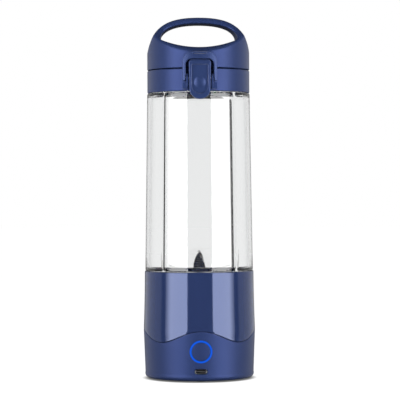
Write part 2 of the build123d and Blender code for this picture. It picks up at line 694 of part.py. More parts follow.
with BuildPart() as flip_lid:
    extrude(arch_outline(), amount=50, both=True)
    with BuildSketch(Plane.YZ):
        with BuildLine():
            front = Bezier((-lid_radius, lid_wall_top), (-17.3, lid_wall_top + 13.8),
                           (-strap_half_depth - 0.7, total_height - 10.9),
                           (-strap_half_depth, total_height + 1))
            mirror(front, about=Plane.YZ)
            Line(front @ 1, (strap_half_depth, total_height + 1))
            Polyline((lid_radius, lid_wall_top), (lid_radius, lid_low), (-lid_radius, lid_low), front @ 0)
        make_face()
    extrude(amount=50, both=True, mode=Mode.INTERSECT)
    with Locations((0, 0, lid_low)):
        Cylinder(lid_radius, 60, align=(Align.CENTER, Align.CENTER, Align.MIN), mode=Mode.INTERSECT)
    fillet(edges().filter_by(lambda e: e.center().Z > 251.0), shoulder_round)
    # finger window: a full elliptic top over a shallow saddle
    window_half, window_corner = 29.4, 259.6
    window_top = total_height - strap_thickness
    with BuildSketch(Plane.XZ) as window:
        with BuildLine():
            over = Bezier((0, window_top), (0.64 * window_half, window_top),
                          (window_half, window_corner + 0.64 * (window_top - window_corner)),
                          (window_half, window_corner))
            mirror(over, about=Plane.YZ)
            ThreePointArc((-window_half, window_corner), (0, saddle_height), (window_half, window_corner))
        make_face()
        fillet(window.vertices().group_by(Axis.Y)[0], 2.2)
    extrude(amount=50, both=True, mode=Mode.SUBTRACT)
    fillet(edges(Select.NEW).filter_by(lambda e: e.center().Z > 251.0), rim_round)
    fillet(edges().group_by(Axis.Z)[0], 0.6)
    # hollow for the spout, and the notch for the beak of the latch
    with Locations((0, 0, lid_low)):
        Cylinder(lid_radius - lid_wall, 9.0, align=(Align.CENTER, Align.CENTER, Align.MIN),
                 mode=Mode.SUBTRACT)
        Cylinder(30.0, 12.0, align=(Align.CENTER, Align.CENTER, Align.MIN), mode=Mode.SUBTRACT)
    with Locations((0, -37.8, lid_low)):
        Box(10, 5, 5.2, align=(Align.CENTER, Align.MAX, Align.MIN), mode=Mode.SUBTRACT)
    # knuckle between the two of the collar, and the room for those two
    with BuildSketch(Plane.YZ.offset(-13.3)):
        with Locations((hinge_y, hinge_z)):
            Circle(knuckle_radius + 0.3)
    extrude(amount=26.6, mode=Mode.SUBTRACT)
    with BuildSketch(Plane.YZ.offset(-6.8)):
        with Locations((hinge_y, hinge_z)):
            Circle(knuckle_radius)
        with BuildLine():
            Polyline((hinge_y + 2.0, hinge_z + 2.2), (38.2, hinge_z + 8.5), (38.2, hinge_z + 0.35),
                     (hinge_y, hinge_z + 0.35), (hinge_y + 2.0, hinge_z + 2.2))
        make_face()
    extrude(amount=13.6)
    with BuildSketch(Plane.YZ.offset(-30)):
        with Locations((hinge_y, hinge_z)):
            Circle(1.05)
    extrude(amount=60, mode=Mode.SUBTRACT)
    # boss and socket for the spout plug
    with Locations((0, spout_y, 246.6)):
        Cylinder(5.5, 4.0, align=(Align.CENTER, Align.CENTER, Align.MIN))
        Cylinder(3.0, 2.4, align=(Align.CENTER, Align.CENTER, Align.MIN), mode=Mode.SUBTRACT)
finish(flip_lid, "flip_lid")

with BuildPart() as spout_plug:
    with BuildSketch(Plane(origin=(0, spout_y, 0), x_dir=(1, 0, 0), z_dir=(0, -1, 0))):
        with BuildLine():
            Polyline((0, 240.6), (5.9, 240.6), (6.5, 244.7), (8.8, 244.7), (8.8, 246.5), (2.95, 246.5),
                     (2.95, 248.9), (0, 248.9), (0, 240.6))
        make_face()
    revolve(axis=Axis((0, spout_y, 0), (0, 0, 1)))
finish(spout_plug, "spout_plug")

# ---------------------------------------------------------------- latch button, spring and locking bail
with BuildPart() as latch_button:
    tongue_mid = tongue_tip + tongue_radius
    with BuildSketch(Plane.XZ) as face:
        with BuildLine():
            ThreePointArc((-tongue_radius, tongue_mid), (0, tongue_tip), (tongue_radius, tongue_mid))
            Polyline((tongue_radius, tongue_mid), (button_half_width, button_top - 4),
                     (button_half_width, button_top), (-button_half_width, button_top),
                     (-button_half_width, button_top - 4), (-tongue_radius, tongue_mid))
        make_face()
        fillet(face.vertices().group_by(Axis.Y)[-1], 2.6)
    extrude(amount=-latch_face_y)
    fillet(edges().group_by(Axis.Y)[0], frame_round)
    with BuildSketch(Plane.YZ):
        with BuildLine():
            Polyline((-43.9, tongue_tip), (latch_face_y, 219.5), (latch_face_y, button_top - 1.5),
                     (-44.0, button_top), (-39.7, button_top), (-39.7, 236.2), (-39.2, 234.5),
                     (-39.2, 227.0), (-39.9, 224.0), (-41.6, 219.2), (-42.0, tongue_tip),
                     (-43.9, tongue_tip))
        make_face()
    extrude(amount=20, both=True, mode=Mode.INTERSECT)
    # raised frame round a sunken pad, with a shallow dish for the thumb
    with BuildSketch(front_plane(latch_face_y + 1.0)) as pad:
        with BuildLine():
            ThreePointArc((-6.2, 223.6), (0, 217.4), (6.2, 223.6))
            Polyline((6.2, 223.6), (6.2, 239.4), (-6.2, 239.4), (-6.2, 223.6))
        make_face()
        fillet(pad.vertices().group_by(Axis.Y)[-1], 1.2)
    extrude(amount=5, mode=Mode.SUBTRACT)
    fillet(edges(Select.NEW).filter_by(lambda e: e.center().Y < latch_face_y + 0.1), 0.35)
    with Locations((0, latch_face_y - 10.6, 226.0)):
        Sphere(12.4, mode=Mode.SUBTRACT)
    # beak at the top, hole for the pin, seat for the spring
    with Locations((0, -39.8, 239.4)):
        Box(8, 1.5, 2.2, align=(Align.CENTER, Align.MIN, Align.MIN))
    with BuildSketch(Plane.YZ.offset(-30)):
        with Locations((latch_pin_y, latch_pin_z)):
            Circle(latch_pin_radius + latch_running_gap)
    extrude(amount=60, mode=Mode.SUBTRACT)
    with BuildSketch(front_plane(-38.0)):
        with Locations((0, 222.4)):
            Circle(2.3)
    extrude(amount=3.6, mode=Mode.SUBTRACT)
finish(latch_button, "latch_button")

with BuildPart() as latch_spring:
    wire_radius = 0.25
    coil_start, coil_end = -38.3 - wire_radius, -41.6 + wire_radius
    coil = Helix(pitch=(coil_start - coil_end) / 4, height=coil_start - coil_end, radius=1.7,
                 center=(0, coil_start, 222.4), direction=(0, -1, 0))
    with BuildSketch(Plane(origin=coil @ 0, z_dir=coil % 0)):
        Circle(wire_radius)
    sweep(path=coil, is_frenet=True)
finish(latch_spring, "latch_spring")

with BuildPart() as lock_bail:
    with BuildSketch(Plane.XZ) as hoop:
        with Locations((0, latch_pin_z - 2.4)):
            Rectangle(2 * bail_half_width, bail_top - latch_pin_z + 2.4, align=(Align.CENTER, Align.MIN))
        fillet(hoop.vertices().group_by(Axis.Y)[-1], 8.5)
    extrude(amount=60)
    with BuildSketch(Plane.XZ) as gap:
        with Locations((0, latch_pin_z - 6)):
            Rectangle(2 * (bail_half_width - bail_arm), bail_bar_low - latch_pin_z + 6,
                      align=(Align.CENTER, Align.MIN))
        fillet(gap.vertices().group_by(Axis.Y)[-1], 4.6)
    extrude(amount=60, mode=Mode.SUBTRACT)
    with Locations((0, 0, 200)):
        Cylinder(bail_outer_radius, 80, align=(Align.CENTER, Align.CENTER, Align.MIN), mode=Mode.INTERSECT)
        Cylinder(bail_inner_radius, 80, align=(Align.CENTER, Align.CENTER, Align.MIN), mode=Mode.SUBTRACT)
    # rounded feet, so that the bail can swing past the collar
    with BuildSketch(Plane.YZ) as keep:
        with Locations((latch_pin_y, latch_pin_z)):
            Circle(2.4)
            Rectangle(20, 30, align=(Align.CENTER, Align.MIN))
    extrude(amount=20, both=True, mode=Mode.INTERSECT)
    fillet(edges().filter_by(lambda e: e.center().Y < -42.2 and e.center().Z > latch_pin_z - 1), 0.6)
    # finger lip on the top edge
    with BuildSketch(front_plane(-42.4)):
        with Locations((0, bail_top - 1.4)):
            RectangleRounded(10.6, 1.5, 0.7)
    extrude(amount=2.2)
    with BuildSketch(Plane.YZ.offset(-12.4)):
        with Locations((latch_pin_y, latch_pin_z)):
            Circle(latch_pin_radius + latch_running_gap)
    extrude(amount=24.8, mode=Mode.SUBTRACT)
finish(lock_bail, "lock_bail")

print(len(finished), "pieces:", ", ".join(finished))
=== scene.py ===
"""Finishes for a cordless portable blender: casing, boot, clear ribbed cup, ground blades, lid and studio.

Lengths in the code are metres unless a name or a helper says millimetres.
"""

import json
from math import atan2, cos, hypot, pi, radians, sin, tau

import bmesh
import bpy
from bpy.props import FloatProperty, FloatVectorProperty, IntProperty, PointerProperty
from mathutils import Matrix, Vector


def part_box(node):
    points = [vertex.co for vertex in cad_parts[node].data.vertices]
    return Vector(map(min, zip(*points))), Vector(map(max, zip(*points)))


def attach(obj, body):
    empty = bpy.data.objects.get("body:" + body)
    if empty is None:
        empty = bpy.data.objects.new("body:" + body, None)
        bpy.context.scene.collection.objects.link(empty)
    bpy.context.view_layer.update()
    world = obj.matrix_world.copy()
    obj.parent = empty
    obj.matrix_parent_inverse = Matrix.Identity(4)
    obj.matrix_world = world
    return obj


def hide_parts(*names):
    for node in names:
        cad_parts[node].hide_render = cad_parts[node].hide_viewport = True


bl_info = {
    "name": "Portable Blender Finishes",
    "version": (1, 0, 0),
    "blender": (4, 5, 0),
    "location": "View3D > Sidebar > Blender Jug",
    "description": "Casing, boot, cup, blades, lid and studio for a portable blender",
    "category": "Object",
}

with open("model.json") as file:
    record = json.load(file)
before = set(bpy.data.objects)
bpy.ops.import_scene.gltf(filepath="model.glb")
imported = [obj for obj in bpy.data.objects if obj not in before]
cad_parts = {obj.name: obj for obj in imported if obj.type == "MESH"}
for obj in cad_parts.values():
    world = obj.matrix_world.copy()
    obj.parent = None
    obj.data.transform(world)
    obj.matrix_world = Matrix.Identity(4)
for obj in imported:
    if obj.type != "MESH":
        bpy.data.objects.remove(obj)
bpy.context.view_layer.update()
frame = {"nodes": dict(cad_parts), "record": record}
MM = 0.001

# ---------------------------------------------------------------- shape facts shared with the frame
RIM_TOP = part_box("base_shell")[1].z
CUP_FOOT, CUP_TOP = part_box("cup")[0].z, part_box("cup")[1].z
BUTTON_HEIGHT = (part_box("light_ring")[0].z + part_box("light_ring")[1].z) / 2
PORT_HEIGHT = (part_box("usb_shell")[0].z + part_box("usb_shell")[1].z) / 2
THREAD_LEAD = 30.0
THREAD_STARTS = 3
THREAD_SPAN = radians(40)
THREAD_FIRST = radians(90)
FOOT_THREAD, NECK_THREAD = (76.6, 1.2), (227.5, 1.1)
CUP_SHOULDER, CUP_NECK = 82.9, 219.4
CUP_STEPS = 720
RING_MIDDLE, RING_HALF = 7.85, 0.95

# ---------------------------------------------------------------- studio facts
FRONT_SPAN, BACK_SPAN = (13.2, 38.2), (44.0, 84.0)
# painted contact shadow on the floor: from the inner to the outer radius in metres the floor's own light
# rises from the depth share to full
PAINTED_FOOT_SHADOW_INNER, PAINTED_FOOT_SHADOW_OUTER, PAINTED_FOOT_SHADOW_DEPTH = 0.040, 0.0475, 0.12
# painted shade: share of their brightness that the floor and surroundings keep where they are seen through
# the clear cup, so the cup reads light grey
PAINTED_SHADE_THROUGH_CUP = 0.86
FLOOR_BOUNCE = 0.8
SKY_FILL, SKY_REFLECTED = 0.5, 0.05
AIM = (0.0009, 0, 0.1372)
CAMERA_ROLL = radians(-0.25)
CAMERA_LENS, CAMERA_SENSOR = 174.5, 36.0


# ---------------------------------------------------------------- mesh helpers
def smooth_step(low, high, value):
    """Rises smoothly from 0 at low to 1 at high."""
    t = min(max((value - low) / (high - low), 0.0), 1.0)
    return t * t * (3 - 2 * t)


def lathe(bm, outline, steps):
    """Spins a closed outline of (radius, height) points in millimetres once round Z."""
    ring = [bm.verts.new((radius * MM, 0, height * MM)) for radius, height in outline]
    edges = [bm.edges.new(pair) for pair in zip(ring, ring[1:] + ring[:1])]
    bmesh.ops.spin(bm, geom=ring + edges, cent=(0, 0, 0), axis=(0, 0, 1), angle=tau, steps=steps,
                   use_merge=True, use_duplicate=False)
    bmesh.ops.remove_doubles(bm, verts=bm.verts, dist=1e-6)
    bmesh.ops.recalc_face_normals(bm, faces=bm.faces)


def soften(bm, width, angle=40, segments=3, keep=lambda edge: True):
    """Rounds the edges that are sharper than the angle, by a width in millimetres."""
    sharp = [e for e in bm.edges if e.is_manifold and e.calc_face_angle() > radians(angle) and keep(e)]
    bmesh.ops.bevel(bm, geom=sharp, offset=width * MM, offset_type="OFFSET", affect="EDGES",
                    segments=segments, profile=0.5, material=-1, clamp_overlap=True)


def thread_ridge(bm, inner, outer, height, thickness, start):
    """One short ridge of a screw thread, swept up the lead from an angle of start."""
    low, high = height - thickness / 2, height + thickness / 2
    steps = 20
    rise = THREAD_LEAD * THREAD_SPAN / tau
    corners = [(inner, low), (outer, low), (outer, high), (inner, high)]
    verts = [bm.verts.new((r * MM, 0, (z - rise / 2) * MM)) for r, z in corners]
    face = bm.faces.new(verts)
    bmesh.ops.rotate(bm, verts=verts, cent=(0, 0, 0), matrix=Matrix.Rotation(start, 3, "Z"))
    bmesh.ops.spin(bm, geom=[face], cent=(0, 0, 0), axis=(0, 0, 1), dvec=(0, 0, rise * MM / steps),
                   angle=THREAD_SPAN, steps=steps, use_duplicate=False)


def make_piece(name, bm, body, material, replaces=(), sharp=32):
    """Turns a finished bmesh into a piece that rides on its body."""
    mesh = bpy.data.meshes.new(name)
    bm.to_mesh(mesh)
    bm.free()
    mesh.polygons.foreach_set("use_smooth", [True] * len(mesh.polygons))
    mesh.set_sharp_from_angle(angle=radians(sharp))
    mesh.materials.append(material)
    piece = bpy.data.objects.new(name, mesh)
    bpy.context.scene.collection.objects.link(piece)
    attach(piece, body)
    if replaces:
        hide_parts(*replaces)
    return piece


def cut_away(piece, cutter_bm):
    """Cuts a closed shape out of a piece and leaves nothing of the cutter behind."""
    mesh = bpy.data.meshes.new("cutter")
    cutter_bm.to_mesh(mesh)
    cutter_bm.free()
    cutter = bpy.data.objects.new("cutter", mesh)
    bpy.context.scene.collection.objects.link(cutter)
    modifier = piece.modifiers.new("opening", "BOOLEAN")
    modifier.operation = "DIFFERENCE"
    modifier.solver = "EXACT"
    modifier.object = cutter
    bpy.context.view_layer.objects.active = piece
    with bpy.context.temp_override(object=piece, active_object=piece, selected_objects=[piece]):
        bpy.ops.object.modifier_apply(modifier=modifier.name)
    bpy.data.objects.remove(cutter)
    bpy.data.meshes.remove(mesh)


def prism(bm, outline, front, back):
    """A closed prism across the front: an outline of (x, z) points from depth front to depth back, in mm."""
    verts = [bm.verts.new((x * MM, front * MM, z * MM)) for x, z in outline]
    face = bm.faces.new(verts)
    swept = bmesh.ops.extrude_face_region(bm, geom=[face])
    moved = [g for g in swept["geom"] if isinstance(g, bmesh.types.BMVert)]
    bmesh.ops.translate(bm, verts=moved, vec=(0, (back - front) * MM, 0))
    bmesh.ops.recalc_face_normals(bm, faces=bm.faces)


def ellipse_points(centre, half_width, half_height, count, squareness=2.0):
    """Points round a superellipse, which is a circle or ellipse at a squareness of 2."""
    points = []
    for k in range(count):
        c, s = cos(tau * k / count), sin(tau * k / count)
        x = abs(c) ** (2 / squareness) * half_width * (1 if c >= 0 else -1)
        z = abs(s) ** (2 / squareness) * half_height * (1 if s >= 0 else -1)
        points.append((centre[0] + x, centre[1] + z))
    return points


def slot_points(centre, width, height, count):
    """Points round a slot with half-round ends."""
    radius = height / 2
    reach = width / 2 - radius
    points = []
    for k in range(count):
        turn = tau * (k + 0.5) / count
        side = reach if cos(turn) > 0 else -reach
        points.append((centre[0] + side + radius * cos(turn), centre[1] + radius * sin(turn)))
    return points


# ---------------------------------------------------------------- outline of the base
BELLY, SHIN, SOLE = (43.0, 38.0), (41.8, 5.0), (38.0, 0.8)
HEEL_CENTRE, HEEL_ROUND = (38.79, 3.91), 3.2
SEAM_MEAN, SEAM_SWING, SEAM_GAP = 33.9, 4.4, 0.35


def base_radius(height):
    """Outside radius of the base at a height, in millimetres."""
    if height >= BELLY[1]:
        t = (height - BELLY[1]) / (82.7 - BELLY[1])
        return BELLY[0] - 1.0 * t - 0.83 * t * (1 - t)
    return SHIN[0] + (BELLY[0] - SHIN[0]) * (height - SHIN[1]) / (BELLY[1] - SHIN[1])


def seam_lift(angle):
    """How far the wavy seam stands above its mean height at an angle round the base."""
    return SEAM_SWING * cos(4 * angle)


def follow_seam(bm, low, high):
    """Bends the rows between two heights with the seam, and keeps their distance from the outside."""
    for vert in bm.verts:
        height, radius = vert.co.z / MM, hypot(vert.co.x, vert.co.y) / MM
        depth = base_radius(height) - radius
        if not low < height < high or depth > 5:
            continue
        angle = atan2(vert.co.y, vert.co.x)
        share = smooth_step(low, SEAM_MEAN, height) if height < SEAM_MEAN else (
            1 - smooth_step(SEAM_MEAN, high, height))
        moved = height + seam_lift(angle) * share
        reach = base_radius(moved) - depth
        vert.co = (reach * MM * cos(angle), reach * MM * sin(angle), moved * MM)


# ---------------------------------------------------------------- shader helpers
def link(tree, source, target):
    tree.links.new(source, target)


def new_group(name, inputs, outputs):
    """A shader node group with named inputs (name, kind, default) and outputs (name, kind)."""
    tree = bpy.data.node_groups.new(name, "ShaderNodeTree")
    for label, kind, default in inputs:
        socket = tree.interface.new_socket(label, in_out="INPUT", socket_type=kind)
        socket.default_value = default
    for label, kind in outputs:
        tree.interface.new_socket(label, in_out="OUTPUT", socket_type=kind)
    return tree, tree.nodes.new("NodeGroupInput"), tree.nodes.new("NodeGroupOutput")


def add(tree, kind, settings=None, **inputs):
    """A node with its settings, and with plain values or links for its inputs."""
    node = tree.nodes.new(kind)
    for key, value in (settings or {}).items():
        setattr(node, key, value)
    for key, value in inputs.items():
        socket = node.inputs[int(key[1:])] if key[0] == "i" and key[1:].isdigit() else (
            node.inputs[key.replace("_", " ")])
        if isinstance(value, bpy.types.NodeSocket):
            tree.links.new(value, socket)
        else:
            socket.default_value = value
    return node


def calc(tree, operation, **inputs):
    return add(tree, "ShaderNodeMath", {"operation": operation}, **inputs)


def vector_calc(tree, operation, **inputs):
    return add(tree, "ShaderNodeVectorMath", {"operation": operation}, **inputs)


def noise(tree, **inputs):
    return add(tree, "ShaderNodeTexNoise", {"noise_dimensions": "3D"}, **inputs)


def ramp(tree, **inputs):
    return add(tree, "ShaderNodeMapRange", None, **inputs)


def smooth_ramp(tree, **inputs):
    return add(tree, "ShaderNodeMapRange", {"interpolation_type": "SMOOTHSTEP"}, **inputs)


def grain_group():
    """Fine moulded grain with slow variation: a roughness between two limits, and a height for a bump."""
    tree, given, out = new_group(
        "Moulded Grain",
        [("Grain Scale", "NodeSocketFloat", 4000.0), ("Cloud Scale", "NodeSocketFloat", 30.0),
         ("Roughness Low", "NodeSocketFloat", 0.3), ("Roughness High", "NodeSocketFloat", 0.4)],
        [("Roughness", "NodeSocketFloat"), ("Height", "NodeSocketFloat")])
    place = add(tree, "ShaderNodeTexCoord").outputs["Object"]
    fine = noise(tree, Vector=place, Scale=given.outputs["Grain Scale"], Detail=3.0, Roughness=0.6)
    cloud = noise(tree, Vector=place, Scale=given.outputs["Cloud Scale"], Detail=4.0, Roughness=0.55)
    blend = calc(tree, "MULTIPLY", i0=fine.outputs["Fac"], i1=0.35)
    total = calc(tree, "MULTIPLY_ADD", i0=cloud.outputs["Fac"], i1=0.65, i2=blend.outputs[0])
    rough = ramp(tree, Value=total.outputs[0], From_Min=0.3, From_Max=0.7,
                 To_Min=given.outputs["Roughness Low"], To_Max=given.outputs["Roughness High"])
    link(tree, rough.outputs["Result"], out.inputs["Roughness"])
    link(tree, fine.outputs["Fac"], out.inputs["Height"])
    return tree


def wear_group():
    """Rubbed edges: rounds every sharp edge a little, and lightens it where it has been handled."""
    tree, given, out = new_group("Rubbed Edges",
                                 [("Colour", "NodeSocketColor", (0.03, 0.05, 0.15, 1)),
                                  ("Rubbed", "NodeSocketColor", (0.1, 0.13, 0.25, 1)),
                                  ("Amount", "NodeSocketFloat", 0.4),
                                  ("Shade Change", "NodeSocketFloat", 0.08),
                                  ("Radius", "NodeSocketFloat", 0.0003)],
                                 [("Colour", "NodeSocketColor"), ("Mask", "NodeSocketFloat"),
                                  ("Normal", "NodeSocketVector")])
    place = add(tree, "ShaderNodeTexCoord").outputs["Object"]
    rounded = add(tree, "ShaderNodeBevel", {"samples": 6}, Radius=given.outputs["Radius"])
    facing = vector_calc(tree, "DOT_PRODUCT", i0=rounded.outputs["Normal"],
                         i1=add(tree, "ShaderNodeNewGeometry").outputs["Normal"])
    sharp = ramp(tree, Value=facing.outputs["Value"], From_Min=0.99, From_Max=0.85)
    patch = noise(tree, Vector=place, Scale=160.0, Detail=5.0)
    chips = ramp(tree, Value=patch.outputs["Fac"], From_Min=0.42, From_Max=0.62)
    mask = calc(tree, "MULTIPLY", i0=sharp.outputs["Result"], i1=chips.outputs["Result"])
    amount = add(tree, "ShaderNodeMath", {"operation": "MULTIPLY", "use_clamp": True}, i0=mask.outputs[0],
                 i1=given.outputs["Amount"])
    slow = noise(tree, Vector=place, Scale=22.0, Detail=2.0)
    swing = calc(tree, "SUBTRACT", i0=slow.outputs["Fac"], i1=0.5)
    value = calc(tree, "MULTIPLY_ADD", i0=swing.outputs[0], i1=given.outputs["Shade Change"], i2=1.0)
    shade = add(tree, "ShaderNodeHueSaturation", None, Color=given.outputs["Colour"], Value=value.outputs[0])
    mixed = add(tree, "ShaderNodeMix", {"data_type": "RGBA"})
    link(tree, amount.outputs[0], mixed.inputs[0])
    link(tree, shade.outputs[0], mixed.inputs[6])
    link(tree, given.outputs["Rubbed"], mixed.inputs[7])
    link(tree, mixed.outputs[2], out.inputs["Colour"])
    link(tree, amount.outputs[0], out.inputs["Mask"])
    link(tree, rounded.outputs["Normal"], out.inputs["Normal"])
    return tree


def brushed_group():
    """Fine parallel lines left by brushing or turning: a roughness and a height."""
    tree, given, out = new_group(
        "Brushed Lines",
        [("Stretch", "NodeSocketVector", (300.0, 300.0, 9000.0)), ("Roughness Low", "NodeSocketFloat", 0.2),
         ("Roughness High", "NodeSocketFloat", 0.4)],
        [("Roughness", "NodeSocketFloat"), ("Height", "NodeSocketFloat")])
    place = add(tree, "ShaderNodeTexCoord").outputs["Object"]
    pulled = vector_calc(tree, "MULTIPLY", i0=place, i1=given.outputs["Stretch"])
    lines = noise(tree, Vector=pulled.outputs[0], Scale=1.0, Detail=4.0)
    rough = ramp(tree, Value=lines.outputs["Fac"], From_Min=0.3, From_Max=0.7,
                 To_Min=given.outputs["Roughness Low"], To_Max=given.outputs["Roughness High"])
    link(tree, rough.outputs["Result"], out.inputs["Roughness"])
    link(tree, lines.outputs["Fac"], out.inputs["Height"])
    return tree


def dust_group():
    """A thin film of dust on faces that look up: a mask."""
    tree, given, out = new_group("Settled Dust", [("Amount", "NodeSocketFloat", 0.1)],
                                 [("Mask", "NodeSocketFloat")])
    place = add(tree, "ShaderNodeTexCoord").outputs["Object"]
    up = add(tree, "ShaderNodeSeparateXYZ", None, Vector=add(tree, "ShaderNodeNewGeometry").outputs["Normal"])
    level = ramp(tree, Value=up.outputs["Z"], From_Min=0.3, From_Max=1.0)
    specks = noise(tree, Vector=place, Scale=900.0, Detail=6.0)
    some = ramp(tree, Value=specks.outputs["Fac"], From_Min=0.45, From_Max=0.75)
    both = calc(tree, "MULTIPLY", i0=level.outputs["Result"], i1=some.outputs["Result"])
    final = add(tree, "ShaderNodeMath", {"operation": "MULTIPLY", "use_clamp": True}, i0=both.outputs[0],
                i1=given.outputs["Amount"])
    link(tree, final.outputs[0], out.inputs["Mask"])
    return tree


def shader(name, values):
    """A material with one Principled shader whose uniform values are set on its own sockets."""
    material = bpy.data.materials.new(name)
    material.use_nodes = True
    principled = material.node_tree.nodes["Principled BSDF"]
    for socket, value in values.items():
        principled.inputs[socket].default_value = value
    return material, material.node_tree, principled


def place_group(tree, name, **inputs):
    node = add(tree, "ShaderNodeGroup", {"node_tree": bpy.data.node_groups[name]})
    for key, value in inputs.items():
        node.inputs[key.replace("_", " ")].default_value = value
    return node


def lighter(colour, share):
    return tuple(c + (1 - c) * share for c in colour[:3]) + (1.0,)


def moulded(name, colour, rough, grain=3500.0, bump=0.02, wear=0.35, dust=0.05, edge=0.3, **values):
    """A moulded plastic, rubber or enamel finish."""
    material, tree, principled = shader(name, {k.replace("_", " "): v for k, v in values.items()})
    worn = place_group(tree, "Rubbed Edges", Colour=tuple(colour) + (1.0,), Rubbed=lighter(colour, 0.18),
                       Amount=wear, Radius=edge * MM)
    film = place_group(tree, "Settled Dust", Amount=dust)
    mixed = add(tree, "ShaderNodeMix", {"data_type": "RGBA"})
    link(tree, film.outputs["Mask"], mixed.inputs[0])
    link(tree, worn.outputs["Colour"], mixed.inputs[6])
    mixed.inputs[7].default_value = (0.55, 0.56, 0.58, 1.0)
    link(tree, mixed.outputs[2], principled.inputs["Base Color"])
    texture = place_group(tree, "Moulded Grain", Grain_Scale=grain, Roughness_Low=rough[0],
                          Roughness_High=rough[1])
    dulled = add(tree, "ShaderNodeMath", {"operation": "ADD", "use_clamp": True},
                 i0=texture.outputs["Roughness"], i1=film.outputs["Mask"])
    link(tree, dulled.outputs[0], principled.inputs["Roughness"])
    raised = add(tree, "ShaderNodeBump", None, Strength=bump, Distance=0.0002,
                 Height=texture.outputs["Height"], Normal=worn.outputs["Normal"])
    link(tree, raised.outputs["Normal"], principled.inputs["Normal"])
    return material


def metal(name, colour, rough, stretch, bump=0.02, **values):
    """A brushed, ground, drawn or plated metal finish."""
    values = {"Metallic": 1.0, **{k.replace("_", " "): v for k, v in values.items()}}
    material, tree, principled = shader(name, values)
    worn = place_group(tree, "Rubbed Edges", Colour=tuple(colour) + (1.0,), Rubbed=lighter(colour, 0.4),
                       Amount=0.5, Shade_Change=0.12)
    link(tree, worn.outputs["Colour"], principled.inputs["Base Color"])
    lines = place_group(tree, "Brushed Lines", Stretch=stretch, Roughness_Low=rough[0],
                        Roughness_High=rough[1])
    link(tree, lines.outputs["Roughness"], principled.inputs["Roughness"])
    raised = add(tree, "ShaderNodeBump", None, Strength=bump, Distance=0.0001, Height=lines.outputs["Height"],
                 Normal=worn.outputs["Normal"])
    link(tree, raised.outputs["Normal"], principled.inputs["Normal"])
    return material


def clear_plastic(name, tint):
    """Water-clear moulded cup: plain transmission, with the faintest flow marks, and a painted shade that
    greys the walls where they are seen edge-on.
    """
    material, tree, principled = shader(name, {"Transmission Weight": 1.0, "IOR": 1.42, "Metallic": 0.0})
    texture = place_group(tree, "Moulded Grain", Grain_Scale=40.0, Cloud_Scale=12.0, Roughness_Low=0.0,
                          Roughness_High=0.012)
    link(tree, texture.outputs["Roughness"], principled.inputs["Roughness"])
    # painted shade: the base colour turns grey where the walls are seen edge-on
    grazing = smooth_ramp(tree, From_Min=0.45, From_Max=0.98, To_Min=0.0, To_Max=1.0,
                          Value=add(tree, "ShaderNodeLayerWeight", None, Blend=0.5).outputs["Facing"])
    tint_and_painted_edge_shade = add(tree, "ShaderNodeMix", {"data_type": "RGBA"})
    link(tree, grazing.outputs["Result"], tint_and_painted_edge_shade.inputs[0])
    tint_and_painted_edge_shade.inputs[6].default_value = tuple(tint) + (1.0,)
    tint_and_painted_edge_shade.inputs[7].default_value = (0.58, 0.59, 0.60, 1.0)
    link(tree, tint_and_painted_edge_shade.outputs[2], principled.inputs["Base Color"])
    raised = add(tree, "ShaderNodeBump", None, Strength=0.004, Distance=0.0003,
                 Height=texture.outputs["Height"])
    link(tree, raised.outputs["Normal"], principled.inputs["Normal"])
    return material


def ring_glow(name, core, edge, centre, radius, half_width):
    """A lit light guide: brightest along the middle of the ring and fading to both edges."""
    material, tree, principled = shader(name,
                                        {"Emission Strength": 1.0, "Base Color": (0.0, 0.001, 0.006, 1.0),
                                         "Roughness": 0.5, "Specular IOR Level": 0.02})
    place = add(tree, "ShaderNodeTexCoord").outputs["Object"]
    spot = vector_calc(tree, "SUBTRACT", i0=place, i1=centre)
    flat = vector_calc(tree, "MULTIPLY", i0=spot.outputs[0], i1=(1.0, 0.0, 1.0))
    span = vector_calc(tree, "LENGTH", i0=flat.outputs[0])
    off = calc(tree, "SUBTRACT", i0=span.outputs["Value"], i1=radius)
    away = calc(tree, "ABSOLUTE", i0=off.outputs[0])
    fade = smooth_ramp(tree, Value=away.outputs[0], From_Min=half_width * 0.35, From_Max=half_width)
    mixed = add(tree, "ShaderNodeMix", {"data_type": "RGBA"})
    link(tree, fade.outputs["Result"], mixed.inputs[0])
    mixed.inputs[6].default_value = tuple(core) + (1.0,)
    mixed.inputs[7].default_value = tuple(edge) + (1.0,)
    link(tree, mixed.outputs[2], principled.inputs["Emission Color"])
    return material


# ---------------------------------------------------------------- settings that a user would change
class FinishSettings(bpy.types.PropertyGroup):
    gloss_navy: FloatVectorProperty(name="Gloss Navy", description="Colour of the glossy casing",
                                    subtype="COLOR", size=3, min=0, max=1, default=(0.0075, 0.0125, 0.037))
    satin_navy: FloatVectorProperty(name="Satin Navy", description="Colour of the lid, latch and boot",
                                    subtype="COLOR", size=3, min=0, max=1, default=(0.0070, 0.0125, 0.038))
    cup_tint: FloatVectorProperty(name="Cup Tint", description="Tint of the clear cup",
                                  subtype="COLOR", size=3, min=0, max=1, default=(0.985, 0.99, 0.99))
    glow: FloatVectorProperty(name="Ring Glow", description="Colour of the lit ring",
                              subtype="COLOR", size=3, min=0, max=1, default=(0.006, 0.105, 0.76))


class BaseSettings(bpy.types.PropertyGroup):
    rim_round: FloatProperty(name="Rim Rounding", description="Rounding of the casing's rim",
                             default=0.6, min=0.1, max=1.0)
    seam_round: FloatProperty(name="Seam Rounding", description="Rounding of both edges of the wavy seam",
                              default=0.35, min=0.05, max=0.8)
    steps: IntProperty(name="Steps", description="Faces round the base", default=288, min=48, max=512)


